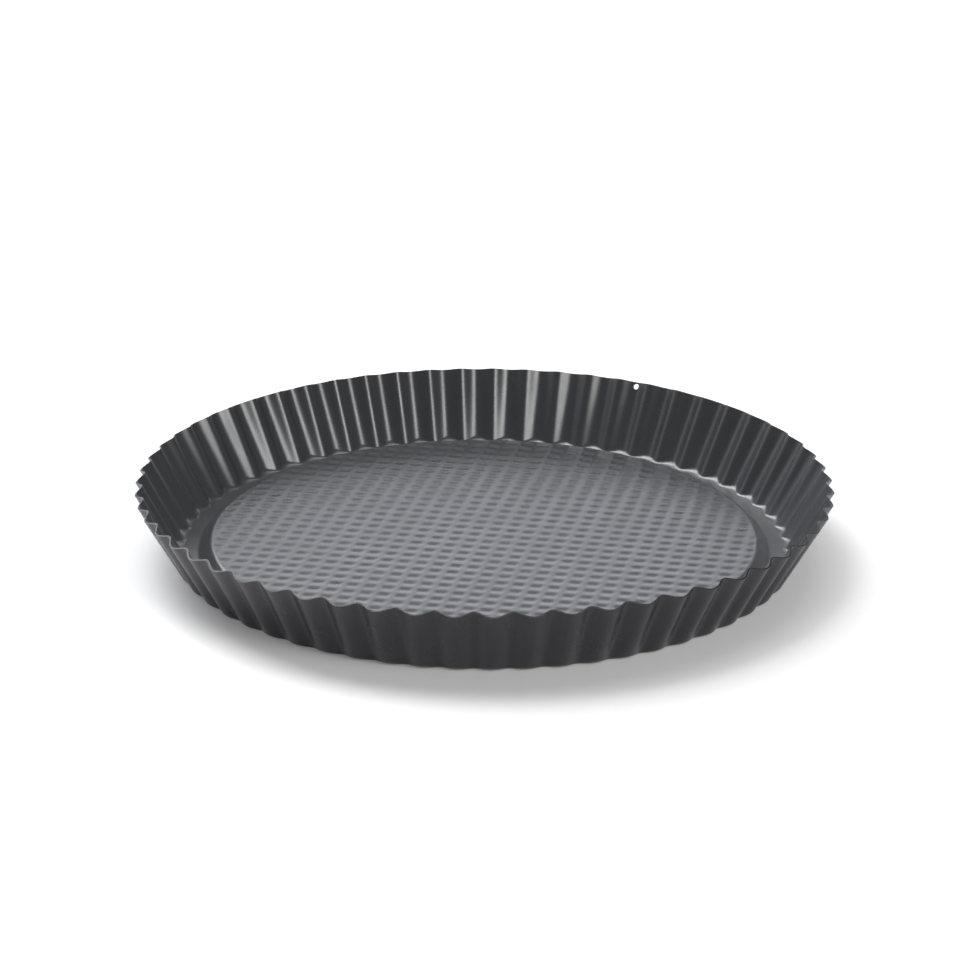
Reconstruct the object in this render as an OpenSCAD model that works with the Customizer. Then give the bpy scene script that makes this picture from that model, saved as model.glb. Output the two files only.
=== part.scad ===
// Fluted tart pan drawn from one disc of sheet steel that is coated on both faces.
//
// The sheet runs in one piece from the raised centre of the floor, down a short step into a
// narrow flat moat, round the bottom corner and up the leaning, fluted wall to a bare cut rim.
// Three bonded layers make up its thickness, and each layer is a node of its own: the outside
// coating, the steel, and the non-stick coating on the cooking side.
//
// Frame: millimetres, +Z up, origin on the table at the centre of the pan.

/* [Rim and wall] */

// Radius of the pan at the rim, out to the crown of a flute
rim_r = 140; // [100:1:180]
// Height of the rim above the table at the inward ridges
rim_h = 29.4; // [22:0.1:45]
// How far the rim dips at the crown of each flute
rim_dip = 1.3; // [0:0.1:3]
// How far the wall leans outward between the table and the rim
wall_run = 16.1; // [8:0.1:26]
// Outside bend radius where a crown meets the floor
crown_bend = 4.9; // [2:0.1:5]
// Outside bend radius where a ridge meets the floor
ridge_bend = 2.5; // [1.8:0.1:5]

/* [Flutes] */

// Number of flutes round the wall
flutes = 60; // [40:1:72]
// Depth of a flute at the rim, from crown to ridge
flute_depth = 2.7; // [1:0.1:3.5]
// Depth of a flute at the bottom of the wall
foot_flute_depth = 2; // [0.3:0.1:2.5]
// Roundness of the inward ridges: small is a crisp ridge, 1 is an even wave
ridge_round = 0.5; // [0.4:0.05:1]
// Angle from +X to the crown of the first flute
flute_turn = 1.5; // [0:0.1:5]

/* [Floor] */

// Width of the moat, from the bottom corner of a crown to the foot of the step
moat_w = 9; // [8.5:0.1:14]
// Height of the raised centre above the moat
step_h = 5.5; // [3.5:0.1:8]
// Distance the step leans over while it rises
step_run = 5.3; // [3:0.1:8]
// Underside bend radius at the top of the step
shoulder_bend = 1.9; // [1:0.1:2.5]
// Underside bend radius at the foot of the step
foot_bend = 2.1; // [1.2:0.1:2.5]

/* [Sheet] */

// Thickness of the steel
steel_t = 0.5; // [0.4:0.05:0.8]
// Thickness of the coating on each face of the steel
coat_t = 0.05; // [0.03:0.01:0.1]

/* [Hanging hole] */

// Radius of the hanging hole
hole_r = 1.25; // [0.8:0.05:1.3]
// Distance from the rim down the wall to the middle of the hole
hole_drop = 1.9; // [1.8:0.1:6]
// Which flute carries the hole, counted anticlockwise from the first
hole_flute = 10; // [0:1:39]

/* [Hidden] */

// Depth of each boundary between layers, measured from the outside face of the pan.
steel_face = coat_t;
cook_face_of_steel = coat_t + steel_t;
cook_face = 2 * coat_t + steel_t;

// Lines of points round the pan: seven to a flute on the wall, one to a flute on the floor.
flute_cols = 7;
wall_cols = flutes * flute_cols;
pitch = 360 / flutes;

// Floor and wall landmarks on the outside face.
corner_r = rim_r - wall_run;
step_foot_r = corner_r - moat_w;
step_top_r = step_foot_r - step_run;
step_angle = atan2(step_h, step_run);

// Flute wave: 1 at a crown, 0 at a ridge, with wide crowns and narrow ridges.
function wave(a) =
    let (c = cos((a - flute_turn) * flutes / 2))
    (sqrt(c * c + ridge_round * ridge_round) - ridge_round)
    / (sqrt(1 + ridge_round * ridge_round) - ridge_round);

// Angle of wall column j. Column 0 of each flute stands on its ridge, and the middle pair
// is spread so that the crown carries a flat wide enough for the hanging hole.
function wall_angle(j) =
    let (u = (j % flute_cols) / flute_cols - 0.5)
    flute_turn + pitch * (floor(j / flute_cols) + u + 0.06 * sin(360 * u));

// Meridian of the wall for a wave value s, on the outside face.
function rim_pt(s) = [rim_r - flute_depth * (1 - s), rim_h - rim_dip * s];
function corner_at(s) = corner_r - foot_flute_depth * (1 - s);
function bend_at(s) = ridge_bend + (crown_bend - ridge_bend) * s;
function wall_lean(s) = atan2(rim_pt(s)[1], rim_pt(s)[0] - corner_at(s));

// Direction of the meridian at wall station k: floor, half way round the bend, wall, rim.
function station_lean(k, s) = wall_lean(s) * min(k, 2) / 2;

// Point [radius, height] of the outside face at wall station k.
function wall_rz(k, s) =
    let (b = station_lean(k, s))
    let (centre_r = corner_at(s) - bend_at(s) * tan(wall_lean(s) / 2))
    k == 3 ? rim_pt(s) : [centre_r + bend_at(s) * sin(b), bend_at(s) * (1 - cos(b))];

function around(rz, a) = [rz[0] * cos(a), rz[0] * sin(a), rz[1]];
function unit(v) = v / norm(v);

// Outside face and its normal towards the cooking side, at station k and angle a.
function wall_face(k, a) = around(wall_rz(k, wave(a)), a);
function wall_normal(k, a) =
    let (d = 0.01)
    let (b = station_lean(k, wave(a)))
    let (up_wall = [cos(b) * cos(a), cos(b) * sin(a), sin(b)])
    unit(cross(up_wall, wall_face(k, a + d) - wall_face(k, a - d)));

// The same point sunk a depth t into the sheet.
function wall_pt(k, a, t) = wall_face(k, a) + t * wall_normal(k, a);

// Step meridian at depth t, from the top of the shoulder (station 0) out to the moat (5).
function step_lean(k) = k < 3 ? step_angle * k / 2 : step_angle * (5 - k) / 2;
function step_rz(k, t) =
    let (b = step_lean(k))
    let (half = tan(step_angle / 2))
    let (top = [step_top_r - shoulder_bend * half, step_h - shoulder_bend])
    let (foot = [step_foot_r + foot_bend * half, foot_bend])
    k < 3 ? top + (shoulder_bend + t) * [sin(b), cos(b)]
        : foot - (foot_bend - t) * [sin(b), cos(b)];

// All points of one boundary face at depth t: six step rings, then four wall rings.
function face_pts(t) = concat(
    [for (k = [0:5]) for (i = [0:flutes - 1]) around(step_rz(k, t), wall_angle(i * flute_cols))],
    [for (k = [0:3]) for (j = [0:wall_cols - 1]) wall_pt(k, wall_angle(j), t)]
);

// Index of a point in one boundary face.
function step_id(k, i) = k * flutes + i % flutes;
function wall_id(k, j) = 6 * flutes + k * wall_cols + j % wall_cols;
face_size = 6 * flutes + 4 * wall_cols;

// Facets of one boundary face, clockwise as seen from the cooking side.
function face_facets() = concat(
    [[for (i = [flutes - 1:-1:0]) step_id(0, i)]],
    [for (k = [0:4]) for (i = [0:flutes - 1])
        [step_id(k, i), step_id(k, i + 1), step_id(k + 1, i + 1), step_id(k + 1, i)]],
    [for (i = [0:flutes - 1])
        concat(
            [step_id(5, i), step_id(5, i + 1)],
            [for (j = [flute_cols:-1:0]) wall_id(0, i * flute_cols + j)]
        )],
    [for (k = [0:2]) for (j = [0:wall_cols - 1]) for (half = [0, 1])
        half == 0
        ? [wall_id(k, j), wall_id(k, j + 1), wall_id(k + 1, j + 1)]
        : [wall_id(k, j), wall_id(k + 1, j + 1), wall_id(k + 1, j)]]
);

// Solid layer of the sheet between two depths, closed at the rim by the cut edge.
module layer(t_out, t_in) {
    top = face_facets();
    bottom = [for (f = top) [for (n = [len(f) - 1:-1:0]) f[n] + face_size]];
    edge = [for (j = [0:wall_cols - 1])
        [wall_id(3, j), wall_id(3, j + 1), wall_id(3, j + 1) + face_size, wall_id(3, j) + face_size]];
    polyhedron(
        points = concat(face_pts(t_in), face_pts(t_out)),
        faces = concat(top, bottom, edge),
        convexity = 8
    );
}

// Middle of the flat on the hole's flute at station k, on the outside face.
function flat_mid(k) =
    let (j = hole_flute * flute_cols + 3)
    (wall_face(k, wall_angle(j)) + wall_face(k, wall_angle(j + 1))) / 2;

// Drill for the hanging hole, square to the flat on its crown.
module hanging_drill() {
    rim_mid = flat_mid(3);
    down = unit(flat_mid(2) - rim_mid);
    axis_a = flute_turn + pitch * hole_flute;
    lean = acos(-down[2]);
    translate(rim_mid + hole_drop * down)
        rotate([0, 0, axis_a])
            rotate([0, 90 + lean, 0])
                cylinder(h = 8, r = hole_r, center = true, $fn = 64);
}

// Coating on the outside and underside, the only layer that touches the shelf.
module outer_coating() {
    color("DimGray")
        difference() {
            layer(0, steel_face);
            hanging_drill();
        }
}

// The pressed steel itself, bare only along the cut rim and inside the hole.
module steel_shell() {
    color("Silver")
        difference() {
            layer(steel_face, cook_face_of_steel);
            hanging_drill();
        }
}

// Non-stick coating on the cooking side.
module inner_coating() {
    color("SlateGray")
        difference() {
            layer(cook_face_of_steel, cook_face);
            hanging_drill();
        }
}

outer_coating();
steel_shell();
inner_coating();
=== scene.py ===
import math

import bpy
import numpy as np
from mathutils import Matrix, Vector


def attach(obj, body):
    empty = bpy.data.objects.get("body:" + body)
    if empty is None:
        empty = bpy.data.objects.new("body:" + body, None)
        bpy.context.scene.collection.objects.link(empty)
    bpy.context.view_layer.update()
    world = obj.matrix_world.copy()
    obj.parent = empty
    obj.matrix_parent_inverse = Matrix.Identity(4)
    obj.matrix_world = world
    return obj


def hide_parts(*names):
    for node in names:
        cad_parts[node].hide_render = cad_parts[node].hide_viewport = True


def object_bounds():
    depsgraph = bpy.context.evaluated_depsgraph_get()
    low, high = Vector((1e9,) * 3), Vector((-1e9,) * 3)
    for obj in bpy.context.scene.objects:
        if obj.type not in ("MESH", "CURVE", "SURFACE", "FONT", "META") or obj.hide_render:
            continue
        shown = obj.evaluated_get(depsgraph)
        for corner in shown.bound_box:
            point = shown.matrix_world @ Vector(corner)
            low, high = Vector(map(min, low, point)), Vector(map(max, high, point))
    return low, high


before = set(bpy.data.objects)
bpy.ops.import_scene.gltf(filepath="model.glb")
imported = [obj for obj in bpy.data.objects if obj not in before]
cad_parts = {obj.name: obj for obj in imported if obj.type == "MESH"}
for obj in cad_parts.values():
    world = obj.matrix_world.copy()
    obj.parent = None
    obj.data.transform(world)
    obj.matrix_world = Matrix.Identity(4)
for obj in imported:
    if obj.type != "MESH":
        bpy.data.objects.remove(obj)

CAD_LO, CAD_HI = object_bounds()
MM = 0.001

# ---------------------------------------------------------------- camera
# A long lens, pitched down 21 degrees and aimed at the pan from the front.
RIM_RADIUS = 0.140               # metres; the camera's place is given in rim radii
CAM_POS = Vector((-0.0047, -8.6042, 3.4598)) * RIM_RADIUS
CAM_PITCH = math.radians(20.774)
CAM_ROLL = math.radians(0.316)
CAM_LENS = 119.6                 # mm, on a sensor 36 mm wide


def add_camera():
    """The scene's camera: pitched down, with a small roll."""
    forward = Vector((0, math.cos(CAM_PITCH), -math.sin(CAM_PITCH)))
    right = Vector((1, 0, 0))
    up = right.cross(forward)
    cam_x = math.cos(CAM_ROLL) * right + math.sin(CAM_ROLL) * up
    cam_y = -math.sin(CAM_ROLL) * right + math.cos(CAM_ROLL) * up
    axes = Matrix((cam_x, cam_y, -forward)).transposed()
    data = bpy.data.cameras.new("camera")
    data.lens = CAM_LENS
    data.sensor_width = 36
    data.clip_start = 0.05
    data.clip_end = 50
    cam = bpy.data.objects.new("camera", data)
    bpy.context.scene.collection.objects.link(cam)
    cam.matrix_world = Matrix.Translation(CAM_POS) @ axes.to_4x4()
    bpy.context.scene.camera = cam


add_camera()

# ---------------------------------------------------------------- the pan's shape, in mm
FLUTES = 60
GRID = 300                       # quads along one side of the embossed disc
COLS = 4 * GRID                  # lines of points round the pan, 20 to a flute
TURN = math.radians(1.5)         # angle of the first crown
PITCH = math.radians(360 / FLUTES)

RIM_R = (CAD_HI.x - CAD_LO.x) / 2 / MM  # the crowns just reach the CAD box
RIM_H = 29.4                     # at the inward ridges
RIM_DIP = 1.3                    # how far the rim dips at a crown
FLUTE_DEPTH = 2.6                # at the rim
FOOT_FLUTE = 2.0                 # depth of a flute at the foot of the wall
CORNER_R = 123.9                 # where the wall would meet the table at a crown
RIDGE_ROUND = 0.5
CROWN_BEND = 4.9                 # outside bend radius into the floor at a crown
RIDGE_BEND = 2.5                 # the same at a ridge

STEP_FOOT_R = 114.9
STEP_H = 5.5
STEP_RUN = 5.3
SHOULDER_BEND = 1.9
FOOT_BEND = 2.1

COAT_T = 0.05
STEEL_T = 0.5
SHEET_T = STEEL_T + 2 * COAT_T

HOLE_R = 1.25
HOLE_DROP = 1.9                  # from the rim down the wall to the middle of the hole
HOLE_FLUTE = 10                  # the flute that carries it
DRILL_SIDES = 64
DRILL_REACH = 4.0                # how far the drill stands out on each side of the wall

# Embossing: trough-shaped dimples on a square grid, the same on the outside and on the
# cooking side. The two hidden faces between the layers have none.
DIMPLE_DEPTH = 0.27
DIMPLE_FLAT_U = 1.1              # half width of the trough's even part, along CELL_U
DIMPLE_HALF_U = 3.2              # half width where its ends have risen to the lanes
DIMPLE_HALF_V = 3.30             # half length along CELL_V, where it is an even curve
CELL_U = np.array([6.83, -1.41])
CELL_V = np.array([1.42, 6.70])
CELL_ORIGIN = np.array([-19.3, -41.9])
EMBOSS_FULL_R = 108.0            # the dimples fade out from here, over the shoulder,
EMBOSS_END_R = 109.6             # to here
ROOM_SPARE = 0.02                # clearance of a hidden face under the deepest dimple
ROOM_FADE = 2.0                  # width over which that lowering runs out

# Rings of points over each stretch of the sheet.
SHOULDER_N, FOOT_N, BEND_N, WALL_N = 7, 5, 7, 4
NORMAL_STEP = 1e-4               # radians, for the slope of the wall round the pan
SHARP_EDGE = math.radians(38)


def wave(a):
    """1 at a crown, 0 at an inward ridge."""
    c = np.cos((a - TURN) * FLUTES / 2)
    e = RIDGE_ROUND
    return (np.sqrt(c * c + e * e) - e) / (math.sqrt(1 + e * e) - e)


def wall_rzb(k, a):
    """Radius, height and lean of the outside face. k: 0..1 round the bend, 1..2 up the wall."""
    s = wave(a)
    rim_r = RIM_R - FLUTE_DEPTH * (1 - s)
    rim_z = RIM_H - RIM_DIP * s
    corner = CORNER_R - FOOT_FLUTE * (1 - s)
    lean = np.arctan2(rim_z, rim_r - corner)
    bend = RIDGE_BEND + (CROWN_BEND - RIDGE_BEND) * s
    b = lean * min(k, 1.0)
    r = corner - bend * np.tan(lean / 2) + bend * np.sin(b)
    z = bend * (1 - np.cos(b))
    if k > 1:
        r = r + (rim_r - r) * (k - 1)
        z = z + (rim_z - z) * (k - 1)
    return r, z, b


def polar(r, z, a):
    return np.stack([r * np.cos(a), r * np.sin(a), z + 0 * a], -1)


def wall_ring(k, a, t):
    """Ring of the face at depth t from the outside face, measured square to the sheet."""
    r, z, b = wall_rzb(k, a)
    d = NORMAL_STEP
    r1, z1, _ = wall_rzb(k, a + d)
    r0, z0, _ = wall_rzb(k, a - d)
    along = polar(r1, z1, a + d) - polar(r0, z0, a - d)
    up_wall = np.stack([np.cos(b) * np.cos(a), np.cos(b) * np.sin(a), np.sin(b)], -1)
    n = np.cross(up_wall, along)
    n /= np.linalg.norm(n, axis=1, keepdims=True)
    return polar(r, z, a) + t * n


# Centres of the two bends of the step, as radius and height.
STEP_ANGLE = math.atan2(STEP_H, STEP_RUN)
HALF_TAN = math.tan(STEP_ANGLE / 2)
SHOULDER_AT = (STEP_FOOT_R - STEP_RUN - SHOULDER_BEND * HALF_TAN, STEP_H - SHOULDER_BEND)
FOOT_AT = (STEP_FOOT_R + FOOT_BEND * HALF_TAN, FOOT_BEND)
DISC_R = SHOULDER_AT[0]


def dimple(x, y):
    """Height added by the embossing, 0 on the lanes and negative in a dimple."""
    inv = np.linalg.inv(np.stack([CELL_U, CELL_V], 1))
    uv = np.stack([x - CELL_ORIGIN[0], y - CELL_ORIGIN[1]], -1) @ inv.T
    f = np.abs(uv - np.floor(uv + 0.5))
    size = math.hypot(*CELL_U)
    u, v = f[..., 0] * size, f[..., 1] * size
    w = np.clip((DIMPLE_HALF_U - u) / (DIMPLE_HALF_U - DIMPLE_FLAT_U), 0, 1)
    along_u = w * w * (3 - 2 * w)
    along_v = np.cos(math.pi / 2 * np.clip(v / DIMPLE_HALF_V, 0, 1)) ** 2
    r = np.hypot(x, y)
    fade = 1 - np.clip((r - EMBOSS_FULL_R) / (EMBOSS_END_R - EMBOSS_FULL_R), 0, 1)
    return -DIMPLE_DEPTH * along_u * along_v * fade * fade * (3 - 2 * fade)


def emboss_room(r):
    """How far a hidden face is lowered so that no dimple comes through it."""
    fade = 1 - np.clip((r - EMBOSS_END_R) / ROOM_FADE, 0, 1)
    return (DIMPLE_DEPTH + ROOM_SPARE) * fade


def step_rings(t, a):
    """Rings over the shoulder of the step, then round its foot to the moat."""
    rings = []
    for i in range(1, SHOULDER_N + 1):
        b = STEP_ANGLE * i / SHOULDER_N
        r = SHOULDER_AT[0] + (SHOULDER_BEND + t) * math.sin(b)
        z = SHOULDER_AT[1] + (SHOULDER_BEND + t) * math.cos(b)
        rings.append(polar(r, z, a))
    for i in range(FOOT_N + 1):
        b = STEP_ANGLE * (1 - i / FOOT_N)
        r = FOOT_AT[0] - (FOOT_BEND - t) * math.sin(b)
        z = FOOT_AT[1] - (FOOT_BEND - t) * math.cos(b)
        rings.append(polar(r, z, a))
    return rings


def wall_rings(t, a):
    """Rings round the bottom corner and up the wall."""
    bend = [i / BEND_N for i in range(BEND_N + 1)]
    wall = [1 + i / WALL_N for i in range(1, WALL_N + 1)]
    return [wall_ring(k, a, t) for k in bend + wall]


def disc_points():
    """A square grid laid over a round disc, so that its edge has one point per column."""
    g = np.linspace(-1, 1, GRID + 1)
    p, q = np.meshgrid(g, g, indexing="ij")
    wide = np.abs(p) >= np.abs(q)
    safe_p = np.where(p == 0, 1, p)
    safe_q = np.where(q == 0, 1, q)
    r = np.where(wide, p, q)
    phi = np.where(wide, math.pi / 4 * q / safe_p, math.pi / 2 - math.pi / 4 * p / safe_q)
    phi = np.where((p == 0) & (q == 0), 0, phi)
    return DISC_R * r * np.cos(phi), DISC_R * r * np.sin(phi)


def grid_id(i, j):
    return i * (GRID + 1) + j


def disc_edge_ids():
    """Grid indices round the disc's edge, anticlockwise from angle -45 degrees."""
    ids = [grid_id(GRID, j) for j in range(GRID)]
    ids += [grid_id(i, GRID) for i in range(GRID, 0, -1)]
    ids += [grid_id(0, j) for j in range(GRID, 0, -1)]
    ids += [grid_id(i, 0) for i in range(GRID)]
    return np.array(ids)


COLUMN_ANGLES = -math.pi / 4 + np.arange(COLS) * 2 * math.pi / COLS
NO_TRIS = np.zeros((0, 3), int)


def embossed_disc(top):
    """Points, quads, triangles, edge indices and point count of the dimpled centre."""
    x, y = (v.ravel() for v in disc_points())
    i, j = np.meshgrid(np.arange(GRID), np.arange(GRID), indexing="ij")
    c = grid_id(i, j).ravel()
    quads = [np.stack([c, c + GRID + 1, c + GRID + 2, c + 1], -1)]
    points = [np.stack([x, y, top + dimple(x, y)], -1)]
    return points, quads, NO_TRIS, disc_edge_ids(), (GRID + 1) ** 2


def plain_disc(height):
    """The same for a flat centre: one fan of triangles."""
    edge = 1 + np.arange(COLS)
    tris = np.stack([np.zeros(COLS, int), edge, np.roll(edge, -1)], -1)
    points = [np.array([[0, 0, height]]), polar(DISC_R, height, COLUMN_ANGLES)]
    return points, [], tris, edge, 1 + COLS


def face_of_sheet(t, embossed, lowered):
    """Points, quads, triangles and rim indices of one face, wound to face the cooking side."""
    a = COLUMN_ANGLES
    top = STEP_H + t
    if embossed:
        points, quads, tris, last, count = embossed_disc(top)
    else:
        room = emboss_room(DISC_R) if lowered else 0
        points, quads, tris, last, count = plain_disc(top - room)
    for ring in step_rings(t, a) + wall_rings(t, a):
        if embossed:
            ring[:, 2] += dimple(ring[:, 0], ring[:, 1])
        elif lowered:
            ring[:, 2] -= emboss_room(np.hypot(ring[:, 0], ring[:, 1]))
        points.append(ring)
        new = count + np.arange(COLS)
        quads.append(np.stack([last, new, np.roll(new, -1), np.roll(last, -1)], -1))
        last = new
        count += COLS
    return np.concatenate(points), np.concatenate(quads), tris, last


def layer(name, outer, inner):
    """Closed solid between two faces of the sheet, joined by the cut edge at the rim."""
    outer_pts, outer_quads, outer_tris, outer_rim = outer
    inner_pts, inner_quads, inner_tris, inner_rim = inner
    n = len(inner_pts)
    outer_rim = outer_rim + n
    rim = np.stack([inner_rim, outer_rim, np.roll(outer_rim, -1), np.roll(inner_rim, -1)], -1)
    points = np.concatenate([inner_pts, outer_pts]) * MM
    quads = np.concatenate([inner_quads, outer_quads[:, ::-1] + n, rim])
    tris = np.concatenate([inner_tris, outer_tris[:, ::-1] + n])
    mesh = bpy.data.meshes.new(name)
    mesh.from_pydata(points.tolist(), [], quads.tolist() + tris.tolist())
    mesh.update()
    obj = bpy.data.objects.new(name, mesh)
    bpy.context.scene.collection.objects.link(obj)
    return obj


# The four boundary faces, from the outside in. The middle two are never seen.
outside_face = face_of_sheet(0.0, True, False)
steel_outside = face_of_sheet(COAT_T, False, False)
steel_inside = face_of_sheet(COAT_T + STEEL_T, False, True)
cooking_face = face_of_sheet(SHEET_T, True, False)

outer_coat = layer("outer_coat", outside_face, steel_outside)
steel_sheet = layer("steel_sheet", steel_outside, steel_inside)
inner_coat = layer("inner_coat", steel_inside, cooking_face)
LAYERS = (outer_coat, steel_sheet, inner_coat)


# ---------------------------------------------------------------- hanging hole
def hole_drill():
    """Round bar through the wall at the hanging hole, square to the crown it is cut in."""
    angle = TURN + PITCH * HOLE_FLUTE
    rim_r, rim_z, lean = (float(v[0]) for v in wall_rzb(2.0, np.array([angle])))
    r = rim_r - HOLE_DROP * math.cos(lean)
    z = rim_z - HOLE_DROP * math.sin(lean)
    centre = Vector((r * math.cos(angle), r * math.sin(angle), z)) * MM
    out = math.sin(lean)
    axis = Vector((out * math.cos(angle), out * math.sin(angle), -math.cos(lean)))
    n = DRILL_SIDES
    turns = [2 * math.pi * i / n for i in range(n)]
    points = [(HOLE_R * math.cos(t) * MM, HOLE_R * math.sin(t) * MM, end * DRILL_REACH * MM)
              for end in (-1, 1) for t in turns]
    faces = [tuple(range(n))[::-1], tuple(range(n, 2 * n))]
    faces += [(i, (i + 1) % n, (i + 1) % n + n, i + n) for i in range(n)]
    mesh = bpy.data.meshes.new("drill")
    mesh.from_pydata(points, [], faces)
    drill = bpy.data.objects.new("drill", mesh)
    turn = axis.to_track_quat("Z", "Y").to_matrix().to_4x4()
    drill.matrix_world = Matrix.Translation(centre) @ turn
    bpy.context.scene.collection.objects.link(drill)
    return drill


def drill_through(obj, drill):
    mod = obj.modifiers.new("hole", "BOOLEAN")
    mod.operation = "DIFFERENCE"
    mod.solver = "MANIFOLD"
    mod.object = drill
    graph = bpy.context.evaluated_depsgraph_get()
    cut = bpy.data.meshes.new_from_object(obj.evaluated_get(graph))
    obj.modifiers.clear()
    obj.data = cut
    cut.name = obj.name


drill = hole_drill()
bpy.context.view_layer.update()
for obj in LAYERS:
    drill_through(obj, drill)
bpy.data.objects.remove(drill)
for obj in LAYERS:
    obj.data.shade_smooth()
    obj.data.set_sharp_from_angle(angle=SHARP_EDGE)


# ---------------------------------------------------------------- materials
def node_material(name):
    m = bpy.data.materials.new(name)
    m.use_nodes = True
    nt = m.node_tree
    nt.nodes.clear()
    out = nt.nodes.new("ShaderNodeOutputMaterial")
    shader = nt.nodes.new("ShaderNodeBsdfPrincipled")
    nt.links.new(shader.outputs[0], out.inputs[0])
    coords = nt.nodes.new("ShaderNodeTexCoord")
    return m, nt, shader, coords.outputs["Object"]


def noise(nt, vec, scale, detail=3.0, rough=0.55):
    n = nt.nodes.new("ShaderNodeTexNoise")
    n.inputs["Scale"].default_value = scale
    n.inputs["Detail"].default_value = detail
    n.inputs["Roughness"].default_value = rough
    nt.links.new(vec, n.inputs["Vector"])
    return n.outputs["Fac"]


def to_range(nt, value, lo, hi, src_lo=0.3, src_hi=0.7):
    n = nt.nodes.new("ShaderNodeMapRange")
    n.inputs["From Min"].default_value = src_lo
    n.inputs["From Max"].default_value = src_hi
    n.inputs["To Min"].default_value = lo
    n.inputs["To Max"].default_value = hi
    nt.links.new(value, n.inputs["Value"])
    return n.outputs["Result"]


def mix_colour(nt, fac, c1, c2):
    n = nt.nodes.new("ShaderNodeMix")
    n.data_type = "RGBA"
    nt.links.new(fac, n.inputs["Factor"])
    n.inputs["A"].default_value = (*c1, 1)
    n.inputs["B"].default_value = (*c2, 1)
    return n.outputs["Result"]


SPECKLE_SCALE = 1500             # fine speckle of the coatings and grain of the bare steel
PATCH_SCALE = 60                 # slow changes of gloss over a coating
STEEL_GLOSS_SCALE = 700
ORANGE_PEEL_SCALE = 900
ORANGE_PEEL_HEIGHT = 0.00005     # metres
ORANGE_PEEL_STRENGTH = 0.012


def coating(name, dark, light, sheen, metallic, ior, rough_lo, rough_hi):
    """Satin non-stick coating: speckled colour, uneven gloss and a faint orange peel."""
    m, nt, shader, vec = node_material(name)
    speckle = to_range(nt, noise(nt, vec, SPECKLE_SCALE, 2.0, 0.6), 0, 1, 0.35, 0.65)
    nt.links.new(mix_colour(nt, speckle, dark, light), shader.inputs["Base Color"])
    gloss = to_range(nt, noise(nt, vec, PATCH_SCALE, 4.0, 0.6), rough_lo, rough_hi)
    nt.links.new(gloss, shader.inputs["Roughness"])
    shader.inputs["Metallic"].default_value = metallic
    shader.inputs["IOR"].default_value = ior
    shader.inputs["Specular Tint"].default_value = (*sheen, 1)
    bump = nt.nodes.new("ShaderNodeBump")
    bump.inputs["Strength"].default_value = ORANGE_PEEL_STRENGTH
    bump.inputs["Distance"].default_value = ORANGE_PEEL_HEIGHT
    nt.links.new(noise(nt, vec, ORANGE_PEEL_SCALE, 1.0, 0.5), bump.inputs["Height"])
    nt.links.new(bump.outputs["Normal"], shader.inputs["Normal"])
    return m


def bare_steel(name, dark, light, rough_lo, rough_hi):
    """Dull cut edge of the sheet, with a fine grain."""
    m, nt, shader, vec = node_material(name)
    grain = to_range(nt, noise(nt, vec, SPECKLE_SCALE, 4.0, 0.7), 0, 1)
    nt.links.new(mix_colour(nt, grain, dark, light), shader.inputs["Base Color"])
    gloss = to_range(nt, noise(nt, vec, STEEL_GLOSS_SCALE, 4.0, 0.7), rough_lo, rough_hi)
    nt.links.new(gloss, shader.inputs["Roughness"])
    shader.inputs["Metallic"].default_value = 1.0
    return m


mat_inner = coating(
    "nonstick_inside", dark=(0.042, 0.044, 0.048), light=(0.054, 0.056, 0.061),
    sheen=(0.95, 0.97, 1.0), metallic=0.15, ior=1.85, rough_lo=0.27, rough_hi=0.33)
mat_outer = coating(
    "coating_outside", dark=(0.014, 0.0138, 0.016), light=(0.020, 0.0195, 0.023),
    sheen=(0.93, 0.92, 1.0), metallic=0.10, ior=1.63, rough_lo=0.26, rough_hi=0.33)
mat_steel = bare_steel(
    "bare_steel", dark=(0.035, 0.035, 0.036), light=(0.085, 0.085, 0.088),
    rough_lo=0.4, rough_hi=0.55)

for obj, mat in ((inner_coat, mat_inner), (outer_coat, mat_outer), (steel_sheet, mat_steel)):
    obj.data.materials.clear()
    obj.data.materials.append(mat)

for obj, node, slot in ((inner_coat, "inner_coating", "nonstick"),
                        (steel_sheet, "steel_shell", "bare_steel"),
                        (outer_coat, "outer_coating", "outer_coat")):
    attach(obj, "root")
    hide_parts(node)

# ---------------------------------------------------------------- floor and studio light
FLOOR_HALF = 14.0                # metres from the middle of the floor to its sides
FLOOR_GLOW = (0.13, 1.0)         # painted light: the floor's emission near the pan, which lifts the shadows there, and far away, where the lamps' light runs out
FLOOR_GLOW_AT = (0.7, 2.4)       # metres from the pan's middle where it starts and stops rising
FIBRE_SCALE = 900
PAPER_DARK = (0.88, 0.88, 0.89)
PAPER_LIGHT = (0.90, 0.90, 0.91)


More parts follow.
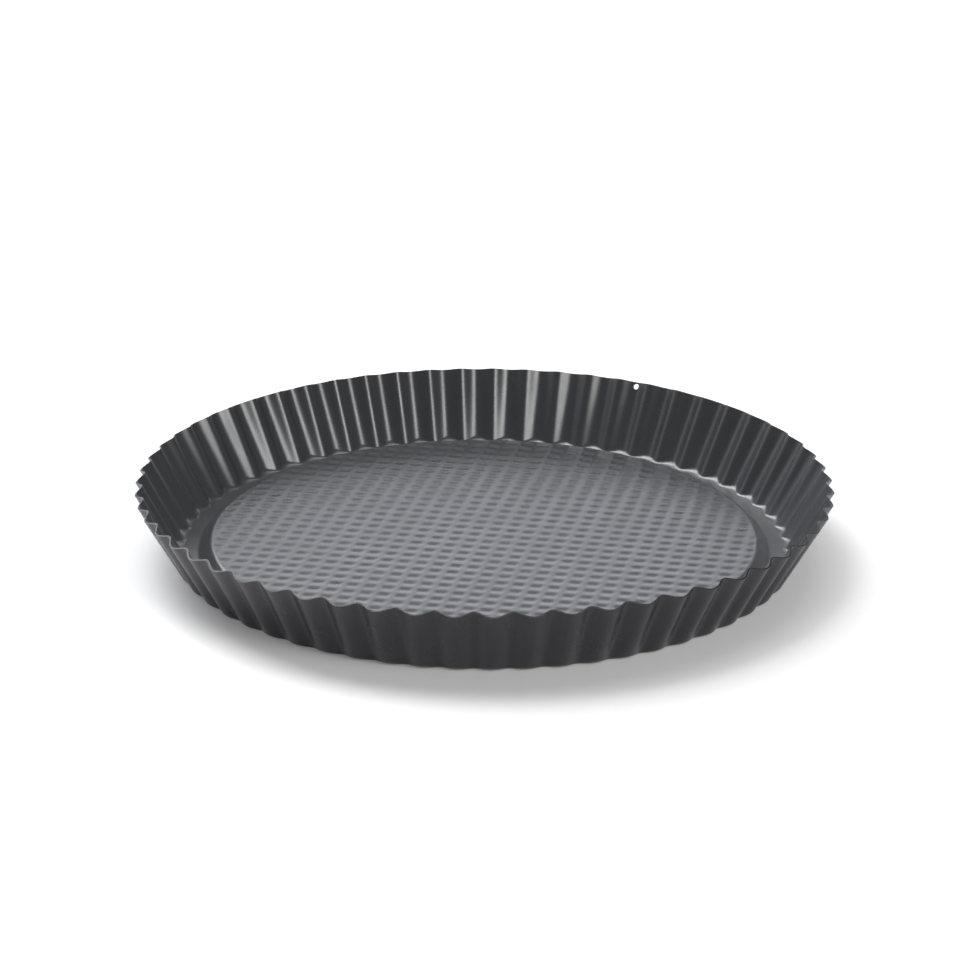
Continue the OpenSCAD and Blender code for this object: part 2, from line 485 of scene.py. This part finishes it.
def paper():
    """Pale paper with painted light: it glows a little near the pan, lifting the shadows there,
    and more where it runs out of the lights' reach.
    """
    m, nt, shader, vec = node_material("floor_paper_painted_glow")
    fibres = to_range(nt, noise(nt, vec, FIBRE_SCALE, 2.0), 0, 1)
    colour = mix_colour(nt, fibres, PAPER_DARK, PAPER_LIGHT)
    nt.links.new(colour, shader.inputs["Base Color"])
    shader.inputs["Roughness"].default_value = 0.9
    shader.inputs["Specular IOR Level"].default_value = 0.2
    shader.inputs["Emission Color"].default_value = (1, 1, 1, 1)
    # Painted light: the paper's emission grows with distance from the pan's middle.
    distance = nt.nodes.new("ShaderNodeVectorMath")
    distance.operation = "LENGTH"
    nt.links.new(vec, distance.inputs[0])
    glow = to_range(nt, distance.outputs["Value"], *FLOOR_GLOW, *FLOOR_GLOW_AT)
    nt.links.new(glow, shader.inputs["Emission Strength"])
    return m


floor_mesh = bpy.data.meshes.new("floor")
corners = [(x * FLOOR_HALF, y * FLOOR_HALF, 0) for x, y in ((-1, -1), (1, -1), (1, 1), (-1, 1))]
floor_mesh.from_pydata(corners, [], [(0, 1, 2, 3)])
floor_mesh.materials.append(paper())
floor = bpy.data.objects.new("floor", floor_mesh)
bpy.context.scene.collection.objects.link(floor)

AIM = Vector((0, 0, 0.02))       # all lights face the middle of the pan
WARM = (1.0, 0.975, 0.94)
WHITE = (1.0, 1.0, 1.0)
COOL = (0.93, 0.96, 1.0)


def softbox(name, azimuth, elevation, distance, width, height, radiance, colour):
    """Area light. Azimuth 0 stands behind the camera, 90 to its right; lengths in metres."""
    a, e = math.radians(azimuth), math.radians(elevation)
    d = Vector((math.sin(a) * math.cos(e), -math.cos(a) * math.cos(e), math.sin(e)))
    light = bpy.data.lights.new(name, "AREA")
    light.shape = "RECTANGLE"
    light.size = width
    light.size_y = height
    light.energy = radiance * width * height * math.pi
    light.color = colour
    obj = bpy.data.objects.new(name, light)
    obj.location = AIM + d * distance
    obj.rotation_mode = "QUATERNION"
    obj.rotation_quaternion = (-d).to_track_quat("-Z", "Y")
    bpy.context.scene.collection.objects.link(obj)


softbox("softbox_front_right", 43, 33, 2.2, 0.95, 0.9, 6.5, WARM)
softbox("softbox_back_left", -139, 50, 2.2, 1.2, 1.9, 6.0, WHITE)
softbox("card_left", -118, 20, 2.6, 2.6, 1.2, 0.45, COOL)
softbox("backdrop_light", 180, 14, 3.2, 5.0, 1.45, 1.62, COOL)
softbox("softbox_top", 180, 72, 2.2, 1.8, 1.5, 1.9, WHITE)

world = bpy.data.worlds.new("studio")
world.use_nodes = True
bg = world.node_tree.nodes["Background"]
bg.inputs["Color"].default_value = (0.96, 0.98, 1, 1)
bg.inputs["Strength"].default_value = 0.18
bpy.context.scene.world = world
bpy.context.scene.view_settings.view_transform = "Standard"
bpy.context.scene.view_settings.look = "None"
